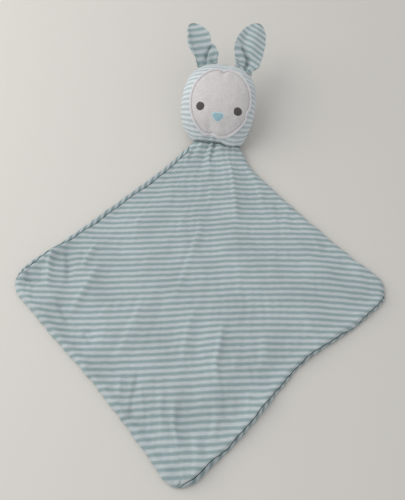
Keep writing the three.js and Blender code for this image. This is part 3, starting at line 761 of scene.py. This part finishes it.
def head_reach(angle):
    """Distance from the head's middle to its seam in one direction."""
    low, high = 0, HEAD_LENGTH
    for _ in range(30):
        reach = (low + high) / 2
        x = head_centre.x + reach * math.cos(angle)
        y = head_centre.y + reach * math.sin(angle)
        inside = NECK_GAP < y < HEAD_LENGTH and abs(x - head_middle_at(y)) < head_half_width(y)
        low, high = (reach, high) if inside else (low, reach)
    return low


CLOTH_STEPS = 12


def cloth_reach(share):
    """Length of cloth from the middle of a stuffed face to a share of its reach."""
    full = math.asin(clamp(share))
    total = 0
    for k in range(CLOTH_STEPS):
        turn = full * (k + 0.5) / CLOTH_STEPS
        total += math.hypot(math.cos(turn), 0.7 * math.sin(turn)) * full / CLOTH_STEPS
    return total


def skin_height(x, y):
    """Height of the front of the head over its seam's plane."""
    share = clamp(abs(x - head_middle_at(y)) / max(head_half_width(y), 0.01))
    cheek = CHEEK_HEIGHT * bell((x - 5) / 12, (y - 7) / 6)
    return (head_half_depth(y) + cheek) * (1 - share ** HEAD_SECTION) ** (1 / HEAD_SECTION)


def drawn_in(x, y, share, side):
    """Small pleats and dents where the cover is gathered at the neck and the crown."""
    pleats = gather_ridges(x, y) * math.exp(-y / 7) if side > 0 else 0
    crown = CROWN_DENT * bell((x + 2.5) / 5, (HEAD_LENGTH - y) / 7)
    around = math.atan2(y - head_centre.y, x - head_centre.x)
    ripple = noise.noise(Vector((math.cos(around) * 6, math.sin(around) * 6, 1.7 * side)))
    return pleats - crown + SEAM_RIPPLE * ripple * bell((1 - share) / 0.05)


def overhang(x, y):
    """How much the cover hangs over the neck: most to the right of its middle."""
    hangs = smooth((x - 3) / 9) * bell((y - NECK_GAP) / 5)
    return hangs * smooth((NECK_WIDTH / 2 - abs(x)) / 8)


def head_cover(name, side, finish):
    """One cover: side is 1 for the front one and -1 for the back one."""
    shape = bmesh.new()
    bmesh.ops.create_uvsphere(shape, u_segments=160, v_segments=112, radius=1)
    shape.verts.index_update()
    reaches = {}
    cloth = {}
    for vertex in shape.verts:
        x, y, z = vertex.co
        share = clamp(math.hypot(x, y))
        angle = round(math.atan2(y, x), 5)
        if angle not in reaches:
            reaches[angle] = head_reach(angle)
        under = COVER_THICKNESS if z < -1e-6 else 0
        reach = reaches[angle] * share * (1 - under / HEAD_WIDTH * 2)
        place = head_centre + Vector((math.cos(angle), math.sin(angle))) * reach
        x, y = place
        y = max(y, NECK_GAP)
        height = side * (CLEARANCE / 2 + skin_height(x, y) * (1 - 2 * under / HEAD_DEPTH))
        height += side * drawn_in(x, y, share, side)
        if side > 0:
            hangs = overhang(x, y)
            height += OVERHANG_HEIGHT * hangs
            y -= OVERHANG_DROP * hangs
        height = max(height - NECK_THICKNESS / 2, rest_depth(y, under))
        vertex.co = head_frame @ Vector((x, y, height)) * MM
        cut = cloth_reach(share) * reaches[angle]
        cloth[vertex.index] = (math.cos(angle) * cut * MM, math.sin(angle) * cut * MM)
    bmesh.ops.recalc_face_normals(shape, faces=shape.faces[:])
    return make_piece(name, shape, cloth, finish)


# Partly painted sheen: the head's jersey is paler than the blanket's, partly as knit stretched over the
# stuffing, partly as the sheen of its side lit by the window.
stretched_sheen_jersey = jersey("stretched_sheen_jersey", linear(175, 187, 189), linear(212, 217, 219))
front_cover = head_cover("head_front", 1, stretched_sheen_jersey)
back_cover = head_cover("head_back", -1, stretched_sheen_jersey)
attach(front_cover, "head")
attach(back_cover, "head")
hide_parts("head_front_cover")
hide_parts("head_back_cover")


# Neck and ear seams: the bands of gathered cloth that are sewn through, sunk
# between the pieces that they join. The stuffing is loose white fibre inside.
def two_shades(share, colour, dark, pale):
    """A darker and a paler shade of a colour, mixed by a pattern."""
    return mixed(
        share, [channel * dark for channel in colour[:3]] + [1],
        [min(1, channel * pale) for channel in colour[:3]] + [1],
    )


def plain_cloth(name, colour, scale):
    """Unstriped cloth or fibre: a fine mottled nap with broader light and dark patches."""
    material, nodes, links, shader = new_material(name, 0.95)
    shader.inputs["Sheen Weight"].default_value = 0.2
    place = nodes.new("ShaderNodeTexCoord")
    fibre = nodes.new("ShaderNodeTexNoise")
    fibre.inputs["Scale"].default_value = scale
    fibre.inputs["Detail"].default_value = 5
    links.new(place.outputs["Object"], fibre.inputs["Vector"])
    blotch = nodes.new("ShaderNodeTexNoise")
    blotch.inputs["Scale"].default_value = scale / 4
    links.new(place.outputs["Object"], blotch.inputs["Vector"])
    depth = ranged(blotch.outputs[0], "To", 0.9, 1.1)
    shaded(shader, two_shades(fibre.outputs[0], colour, 0.8, 1.14), depth.outputs[0])
    relief(shader, fibre.outputs[0], 0.4, 0.2 * MM)
    return material


# Painted shade: the seams' jersey is darker than either stripe of the cloth, for the shade in the
# narrow creases where the seams sit.
pale_jersey = plain_cloth("pale_jersey", linear(112, 138, 142), 900)
stuffing = plain_cloth("stuffing", linear(240, 240, 236), 300)
for name, finish in (
    ("neck_stitching", pale_jersey),
    ("left_ear_stitching", pale_jersey),
    ("right_ear_stitching", pale_jersey),
    ("head_filling", stuffing),
):
    node = frame["nodes"][name]
    node.data.materials.clear()
    node.data.materials.append(finish)


# Face patch: white velour sewn on with a line of stitches inside its rim, which
# stands up as a narrow roll. The gathers at crown and chin pucker it.
PATCH_WIDTH = 64
PATCH_LENGTH = 73
PATCH_THICKNESS = 1
PATCH_GAP = 0.5
PATCH_RIM = 1.7
FACE_MIDDLE = -1
PATCH_FROM_NECK = 41.3
STITCH_MARGIN = 2.6
ROLL_RISE = 0.55
GROOVE_DEPTH = 0.55
GROOVE_WIDTH = 0.45
patch_middle = Vector((FACE_MIDDLE, PATCH_FROM_NECK))


def signed_power(value, power):
    """Squares off a circle's sine or cosine, the more the higher the power."""
    return math.copysign(abs(value) ** (2 / power), value)


def patch_outline(angle, margin):
    """The patch's rim or a line inside it, from the patch's middle."""
    from_middle = math.cos(angle) * PATCH_WIDTH / 2
    if math.sin(angle) > 0:
        pucker = 3.2 * bell((from_middle + 1.2) / 3.6)
    else:
        pucker = 1.8 * bell((from_middle + 4) / 5)
        pucker -= 1.3 * bell((from_middle + 14) / 6)
        pucker -= 1.1 * bell((from_middle - 10.5) / 8)
    side_dent = 1.8 * bell((angle + 0.24) / 0.11)
    x = (PATCH_WIDTH / 2 - margin - side_dent) * signed_power(math.cos(angle), HEAD_SECTION)
    y = (PATCH_LENGTH / 2 - margin - pucker) * signed_power(math.sin(angle), HEAD_SECTION)
    return Vector((x, y))


def on_face(x, y, raised):
    """A point over the front cover, in the head's frame, raised along its slope."""
    def height_at(x, y):
        return (CLEARANCE - NECK_THICKNESS) / 2 + skin_height(x, y)
    rise_x = height_at(x + CLEARANCE, y) - height_at(x - CLEARANCE, y)
    rise_y = height_at(x, y + CLEARANCE) - height_at(x, y - CLEARANCE)
    out = Vector((-rise_x, -rise_y, 2 * CLEARANCE)).normalized()
    return Vector((x, y, height_at(x, y))) + out * raised


def face_shape(name, outline, middle, height_at, finish, rings, sides):
    """A closed shape laid on the face: a ball flattened between two skins."""
    shape = bmesh.new()
    bmesh.ops.create_uvsphere(shape, u_segments=sides, v_segments=2 * rings, radius=1)
    shape.verts.index_update()
    cloth = {}
    for vertex in shape.verts:
        x, y, z = vertex.co
        share = clamp(math.hypot(x, y))
        angle = math.atan2(y, x)
        place = middle + outline(angle) * share
        raised = height_at(place, share, z > -1e-6)
        vertex.co = head_frame @ on_face(place.x, place.y, raised) * MM
        cloth[vertex.index] = (place.x * MM, place.y * MM)
    bmesh.ops.recalc_face_normals(shape, faces=shape.faces[:])
    return make_piece(name, shape, cloth, finish)


def edge_finish(piece, middle, finish, at_edge):
    """Gives the faces at a shape's edge a second finish."""
    piece.data.materials.append(finish)
    cloth = piece.data.uv_layers["cloth"].data
    for face in piece.data.polygons:
        spots = [cloth[k].uv - middle * MM for k in face.loop_indices]
        spot = sum(spots, Vector((0, 0))) / len(spots) / MM
        if at_edge(spot):
            face.material_index = 1


def patch_height(place, share, top):
    """Height of the patch over the head: its rim, roll and groove, and its puckers."""
    if not top:
        return PATCH_GAP
    margin = (1 - share) * PATCH_WIDTH / 2
    roll = ROLL_RISE * math.sin(math.pi * clamp(margin / 2)) ** 0.7
    rim = PATCH_THICKNESS * smooth(margin / 0.5 + 0.4)
    groove = GROOVE_DEPTH * bell((margin - STITCH_MARGIN) / GROOVE_WIDTH)
    field = 0.4 * smooth((margin - STITCH_MARGIN) / 5)
    x, y = place
    chin = 1.5 * bell((x + 7.5 + (y - 8) * 0.3) / 3, (y - 10) / 9)
    chin_puff = 0.9 * bell((x - 1) / 5, (y - 11) / 7)
    crown = 1.4 * bell((x + 2.2) / 3, (y - 74) / 7)
    crown -= 0.5 * bell((x - 3.5) / 3.5, (y - 69) / 6)
    soft = 0.35 * noise.noise(Vector((x, y, 5)) / 9) + 0.12 * noise.noise(Vector((x, y, 8)) / 2.5)
    return PATCH_GAP + rim + roll - groove + field - chin + chin_puff - crown + soft


def at_patch_rim(spot):
    """Whether a place on the patch is on its rolled rim."""
    angle = math.atan2(spot.y / PATCH_LENGTH, spot.x / PATCH_WIDTH)
    return patch_outline(angle, 0).length - spot.length < PATCH_RIM


white_velour = plain_cloth("white_velour", linear(209, 205, 204), 900)
velour_rim = plain_cloth("velour_rim", linear(216, 215, 219), 1400)
patch = face_shape(
    "face_patch_velour", lambda angle: patch_outline(angle, 0), patch_middle,
    patch_height, white_velour, 90, 192,
)
edge_finish(patch, patch_middle, velour_rim, at_patch_rim)
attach(patch, "head")
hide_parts("face_patch")


# Stitches of the patch: a closed line of short lock stitches of white sewing thread,
# which lie in the groove that they pull into the velour.
STITCH_COUNT = 84
STITCH_SHARE = 0.42
STITCH_WIDTH = 0.32
STITCH_HEIGHT = 0.3
STITCH_SINK = 0.42
STITCH_BEND = 0.25
WAVE_ROWS = 0.314


def thread(name, colour, pitch, turn):
    """Satin thread: rows of fine fibres, painted lighter and darker row by row as highlights and shade
    where they catch the light.
    """
    material, nodes, links, shader = new_material(name, 0.55)
    shader.inputs["Sheen Weight"].default_value = 0.15
    place = nodes.new("ShaderNodeTexCoord")
    mapping = nodes.new("ShaderNodeMapping")
    mapping.inputs["Rotation"].default_value = (0, 0, turn)
    links.new(place.outputs["Object"], mapping.inputs["Vector"])
    rows = nodes.new("ShaderNodeTexWave")
    rows.inputs["Scale"].default_value = WAVE_ROWS / pitch
    rows.inputs["Distortion"].default_value = 1.5
    rows.inputs["Detail"].default_value = 2
    rows.inputs["Detail Scale"].default_value = 3
    links.new(mapping.outputs[0], rows.inputs["Vector"])
    # Painted highlight and shade: the wave makes the rows' colour lighter and darker.
    links.new(two_shades(rows.outputs[0], colour, 0.6, 1.45), shader.inputs["Base Color"])
    relief(shader, rows.outputs[0], 0.6, 0.15 * MM)
    return material


# Painted shade: the white thread is coloured grey, for the shade of the groove that the stitches lie
# in.
white_thread = thread("white_thread", linear(176, 173, 177), 0.4 * MM, 0)
stitch_line = bmesh.new()
for k in range(STITCH_COUNT):
    made = bmesh.ops.create_uvsphere(stitch_line, u_segments=8, v_segments=6, radius=1)
    angle = 2 * math.pi * (k + 0.5) / STITCH_COUNT
    half_turn = math.pi / STITCH_COUNT
    here = patch_middle + patch_outline(angle, STITCH_MARGIN)
    ahead = patch_middle + patch_outline(angle + 0.01, STITCH_MARGIN)
    along = (ahead - here).normalized()
    aside = Vector((-along.y, along.x))
    first = patch_outline(angle - half_turn, STITCH_MARGIN)
    last = patch_outline(angle + half_turn, STITCH_MARGIN)
    length = STITCH_SHARE * (last - first).length
    for vertex in made["verts"]:
        run, side, up = vertex.co
        spot = here + along * run * length + aside * side * STITCH_WIDTH
        raised = PATCH_GAP + PATCH_THICKNESS - STITCH_SINK + up * STITCH_HEIGHT - STITCH_BEND * run ** 2
        vertex.co = head_frame @ on_face(spot.x, spot.y, raised) * MM
bmesh.ops.recalc_face_normals(stitch_line, faces=stitch_line.faces[:])
stitch_line.verts.index_update()
uncut = {vertex.index: (0, 0) for vertex in stitch_line.verts}
stitches = make_piece("face_patch_stitches", stitch_line, uncut, white_thread)
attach(stitches, "head")
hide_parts("face_patch_stitching")


# Eyes and nose: satin embroidery straight on the velour, a low mound of close
# stitches each. The nose has a paler row round its edge.
EYE_DIAMETER = 8.4
EYE_SPACING = 38.4
EYES_FROM_NECK = 33
RIGHT_EYE_LOWER = 0.8
NOSE_WIDTH = 12
NOSE_LENGTH = 9.5
NOSE_FROM_NECK = 24.3
NOSE_DIP = 0.6
NOSE_FILLED_SHARE = 0.76
EMBROIDERY_HEIGHT = 0.9
EMBROIDERY_EDGE = 0.3
EMBROIDERY_LIFT = 0.2


def eye_outline(angle):
    """A circle with a slightly uneven edge, as stitches leave it."""
    radius = EYE_DIAMETER / 2 * (1 + 0.015 * math.sin(9 * angle))
    return Vector((math.cos(angle), math.sin(angle))) * radius


def nose_outline(angle):
    """A triangle with round corners, a small dip in its top and its point below."""
    x = NOSE_WIDTH / 2 * math.cos(angle) * (1 + 0.42 * math.sin(angle))
    top = math.sin(angle) > 0
    y = signed_power(math.sin(angle), 3) if top else math.sin(angle)
    dip = NOSE_DIP * bell(x / 1.8) if top else 0
    return Vector((x, NOSE_LENGTH / 2 * y - dip))


def at_nose_rim(spot):
    """Whether a place on the nose is in its paler row of stitches."""
    angle = math.atan2(spot.y / NOSE_LENGTH, spot.x / NOSE_WIDTH)
    return spot.length > NOSE_FILLED_SHARE * nose_outline(angle).length


def mound(place, share, top):
    """Height of embroidery over the head: it stands on the velour and rounds off."""
    bottom = PATCH_GAP + PATCH_THICKNESS + EMBROIDERY_LIFT
    return bottom + (mix(EMBROIDERY_HEIGHT, EMBROIDERY_EDGE, share ** 2) if top else 0)


dark_thread = thread("dark_thread", linear(84, 79, 79), 0.45 * MM, 0.3)
blue_thread = thread("blue_thread", linear(154, 189, 199), 0.5 * MM, 0.15)
for word, side, lower in (("left", -1, 0), ("right", 1, RIGHT_EYE_LOWER)):
    eye_middle = Vector((FACE_MIDDLE + side * EYE_SPACING / 2, EYES_FROM_NECK - lower))
    eye = face_shape(f"{word}_eye_embroidery", eye_outline, eye_middle, mound, dark_thread, 12, 48)
    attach(eye, "head")
    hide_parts(f"{word}_eye")
nose_middle = Vector((FACE_MIDDLE, NOSE_FROM_NECK))
nose = face_shape("nose_embroidery", nose_outline, nose_middle, mound, blue_thread, 12, 64)
pale_blue_thread = thread("pale_blue_thread", linear(188, 210, 215), 0.5 * MM, 0.15)
edge_finish(nose, nose_middle, pale_blue_thread, at_nose_rim)
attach(nose, "head")
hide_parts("nose")


# Ears: each a leaf of two layers of jersey, sewn round and turned, pleated once
# at its inner side and sewn into the seam over the crown.
EAR_LENGTH = 52
EAR_WIDTH = 33
EAR_BASE = 22.5
EAR_WIDEST = 0.37
EAR_ROOT = 3
EAR_SEAT = 19.5
EAR_STANDOFF = 2.6
EAR_PUFF = 1.3
EAR_BACK_TILT = math.radians(6)
EARS_MIDDLE = -2.5
LOBE_HEIGHT = 3.2
ROOT_SEAM = 0.9


def crown_seam(beside):
    """How far the crown's seam lies from the neck, beside the ears' middle."""
    share = 2 * abs(beside + EARS_MIDDLE + HEAD_OFFSET) / HEAD_WIDTH
    round_share = (1 - share ** CROWN_ROUND) ** (1 / CROWN_ROUND)
    return HEAD_MIDDLE + (HEAD_LENGTH - HEAD_MIDDLE) * round_share


def ear_seat(side):
    """The ear's own frame at the head, with X along its hinge line."""
    beside = side * EAR_SEAT
    slope = (crown_seam(beside + CLEARANCE) - crown_seam(beside - CLEARANCE)) / (2 * CLEARANCE)
    angle = math.atan(slope)
    place = Vector((
        EARS_MIDDLE + beside - math.sin(angle) * EAR_STANDOFF,
        crown_seam(beside) + math.cos(angle) * EAR_STANDOFF,
        -NECK_THICKNESS / 2,
    ))
    turn = Matrix.Rotation(angle, 4, "Z") @ Matrix.Rotation(-EAR_BACK_TILT, 4, "X")
    return head_frame @ Matrix.Translation(place) @ turn


# How each ear lies: its lean in degrees, the curve of its middle line and the droop of
# its tip in millimetres, its length, its width and the pitch of its stripes beside the
# flat leaf's, how blunt its tip is, the height of its puckered edge, and the line of its
# pleat from the base to the inner side, as shares of its length and of half its width.
ears = {
    "left": {
        "lean": -3, "curve": 6, "droop": 5.5, "length": 0.97, "width": 0.83, "pitch": 1.36,
        "blunt": 2.5, "edge": 1.7, "pucker_at": 4,
        "pleat": ((0, 0.17), (0.12, 0.2), (0.2, 0.38), (0.31, 0.75), (0.36, 1.05)),
    },
    "right": {
        "lean": -22, "curve": 9.5, "droop": 1.5, "length": 1, "width": 1.04, "pitch": 0.94,
        "blunt": 1.9, "edge": 1.2, "pucker_at": 5,
        "pleat": ((0, 0.02), (0.15, 0.05), (0.25, 0.3), (0.3, 0.5), (0.8, 0.72)),
    },
}


def ear_edges(word, share):
    """The inner and the outer edge of an ear, beside its middle line."""
    ear = ears[word]
    rising = math.sin(math.pi / 2 * min(1, max(0, share) / EAR_WIDEST))
    beyond = clamp((share - EAR_WIDEST) / (1 - EAR_WIDEST))
    half = mix(EAR_BASE, EAR_WIDTH * ear["width"], rising) / 2 * (1 - beyond ** ear["blunt"]) ** 0.55
    pucker = 0.8 * noise.noise(Vector((share * 14, 0.3, ear["pucker_at"]))) * min(1, half / 8)
    if word == "right":
        corner = bell((share - 0.17) / 0.08) - 1.8 * bell(share / 0.07)
        return half + pucker, half + 1.2 * corner - pucker
    lobe = 1.8 * bell((share - 0.13) / 0.09) - 2.7 * bell((share - 0.45) / 0.1)
    slim = 1.4 * bell((share - 0.15) / 0.08) + 0.14 * half * smooth((share - 0.5) / 0.25)
    return half + lobe + pucker, half - slim - 1.5 * pucker


def past_pleat(word, beside, share):
    """How far a point lies past the pleat, on its inner side, in half widths."""
    line = ears[word]["pleat"]
    place = line[-1][1]
    for (low, first), (high, second) in reversed(list(zip(line, line[1:]))):
        if share <= high:
            place = mix(first, second, clamp((share - low) / (high - low)))
    return beside - place


def ear_relief(word, beside, share):
    """Height of the cupped leaf with the lobe that is folded forward beside its pleat."""
    past = past_pleat(word, beside, share)
    rooted = smooth(share / 0.1 + 0.25)
    if word == "left":
        fade = rooted * smooth((0.38 - share) / 0.07)
        lobe = LOBE_HEIGHT * fade * smooth(past / 0.1) * (1 - 0.35 * smooth(past))
        valley = 3 * fade * bell((past + 0.12) / 0.17)
        cup = 1.8 * (beside - 0.45) ** 2 * smooth((1.02 - share) / 0.3)
        rim = 1.4 * bell((beside + 0.84) / 0.15) * smooth((share - 0.1) / 0.2)
        cup += rim * smooth((0.97 - share) / 0.25)
    else:
        fade = mix(0.3, 1, smooth((0.42 - share) / 0.12)) * smooth((0.8 - share) / 0.3)
        lobe = rooted * fade * LOBE_HEIGHT * smooth(past / mix(0.5, 0.1, fade))
        deep = mix(1.3, 2.8, smooth((0.42 - share) / 0.12)) * smooth((0.85 - share) / 0.3)
        valley = rooted * deep * bell((past + 0.16) / 0.26)
        cup = 2.6 * smooth(-past / 0.9) * smooth((1.05 - share) / 0.3)
    edge = 0.5 + noise.noise(Vector((share * 20, 3 * beside, 7)))
    edge *= ears[word]["edge"] * math.exp(-((1 - abs(beside)) / 0.14))
    frill = 0.7 * math.sin(9 * beside) * bell(share / 0.07)
    return rooted * cup + lobe - valley + edge + frill


def ear_point(word, inner, side, skin, beside, share):
    """Where a point of an ear's layer lies from its seat, and its place on the cloth."""
    ear = ears[word]
    rooted = clamp(share / 0.16)
    seam = mix(ROOT_SEAM, PANEL_THICKNESS, rooted)
    swell = math.sqrt(max(0, math.sin(math.pi * clamp(share + 0.02))))
    puff = EAR_PUFF * rooted * swell * (1 - beside ** 2)
    middle = ear_relief(word, beside, share) - ear["droop"] * share * abs(share)
    along = share * EAR_LENGTH * ear["length"]
    inner_edge, outer_edge = ear_edges(word, share)
    flat = beside * (inner_edge if beside > 0 else outer_edge)
    past = past_pleat(word, beside, share)
    lobe = smooth(past / 0.08) * smooth((0.42 - share) / 0.07) * clamp(share / 0.05)
    hangs = 2 * lobe * (1 - smooth(past / 0.4))
    leaning = (along - NECK_GAP) * math.tan(math.radians(ear["lean"]))
    bent = leaning - inner * ear["curve"] * share * share
    height = middle + side * (CLEARANCE / 2 + skin * (seam + puff))
    stripe = along / ear["pitch"]
    if word == "left":
        stripe += lobe * (1.5 + 2.5 * (past - 0.45) ** 2)
    else:
        stripe += 0.1 * inner * flat * (1 - lobe) + lobe * (1 + 6 * past)
    return Vector((inner * (flat - hangs) + bent, along, height)), (flat * MM, stripe * MM)


EAR_COLUMNS = 76
EAR_ROWS = 60


def ear_layer(name, word, seat, side, inner, finish):
    """One layer of an ear: side is 1 at the front, and inner points to the other ear."""
    shape, outside, inside = doubled_cloth(EAR_COLUMNS, EAR_ROWS, 1)
    cloth = {}
    for skin, vertices in ((1, outside), (0, inside)):
        for vertex in vertices:
            up = (vertex.co.y + 1) / 2
            share = mix(-EAR_ROOT / EAR_LENGTH, 1, math.sin(math.pi / 2 * up))
            beside = vertex.co.x * inner
            place, cloth[vertex.index] = ear_point(word, inner, side, skin, beside, share)
            vertex.co = seat @ place * MM
    bmesh.ops.recalc_face_normals(shape, faces=shape.faces[:])
    return make_piece(name, shape, cloth, finish)


for word, side in (("left", -1), ("right", 1)):
    seat = ear_seat(side)
    up = (seat.to_3x3() @ Vector((0, 1, 0))) * MM
    for layer, facing in (("front", 1), ("back", -1)):
        ear = ear_layer(f"{word}_ear_{layer}_jersey", word, seat, facing, -side, striped_jersey)
        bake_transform(ear)
        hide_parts(f"{word}_ear_{layer}")
